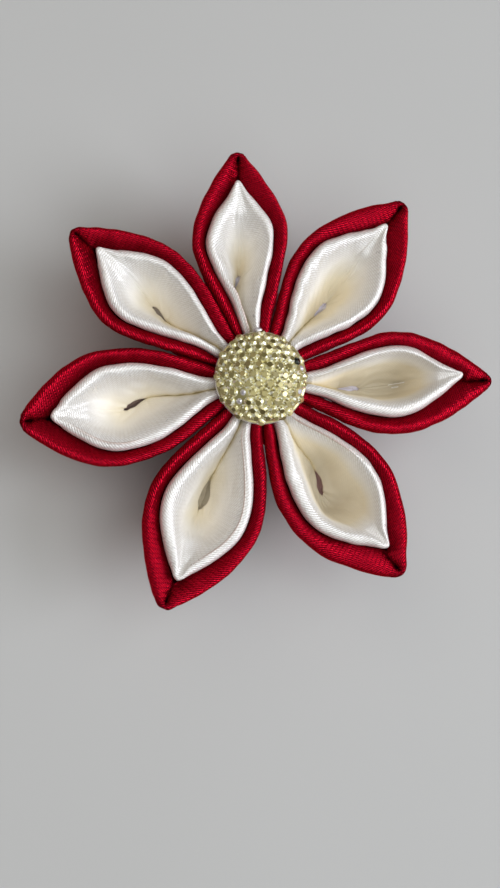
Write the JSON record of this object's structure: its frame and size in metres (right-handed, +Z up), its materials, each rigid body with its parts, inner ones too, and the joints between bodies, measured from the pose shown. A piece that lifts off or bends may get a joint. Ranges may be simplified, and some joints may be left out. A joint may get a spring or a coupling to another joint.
{
  "type": "ribbon flower kanzashi hairpin",
  "caption": "Hair flower of pointed folded satin ribbon petals, red outside and cream inside, round a stone-covered cabochon, on a flat hairpin.",
  "frame": {"origin": "on the surface that the hairpin lies on, under the middle of the flower", "axes": "+Z up, out of the flower's face; +X along the right petal; +Y towards the top petal"},
  "size_m": [0.0695, 0.0666, 0.0199],
  "materials": {
    "red_satin": "satin",
    "cream_satin": "satin",
    "gold_stones": "polished facets over a gold foil",
    "pin_steel": "plain sheet steel"
  },
  "bodies": {
    "root": {"petal_right_red": "red_satin", "petal_upper_right_red": "red_satin", "petal_top_red": "red_satin", "petal_upper_left_red": "red_satin", "petal_left_red": "red_satin", "petal_lower_left_red": "red_satin", "petal_lower_right_red": "red_satin", "petal_right_cream": "cream_satin", "petal_upper_right_cream": "cream_satin", "petal_top_cream": "cream_satin", "petal_upper_left_cream": "cream_satin", "petal_left_cream": "cream_satin", "petal_lower_left_cream": "cream_satin", "petal_lower_right_cream": "cream_satin", "cabochon": "gold_stones", "hairpin": "pin_steel"}
  },
  "joints": []
}
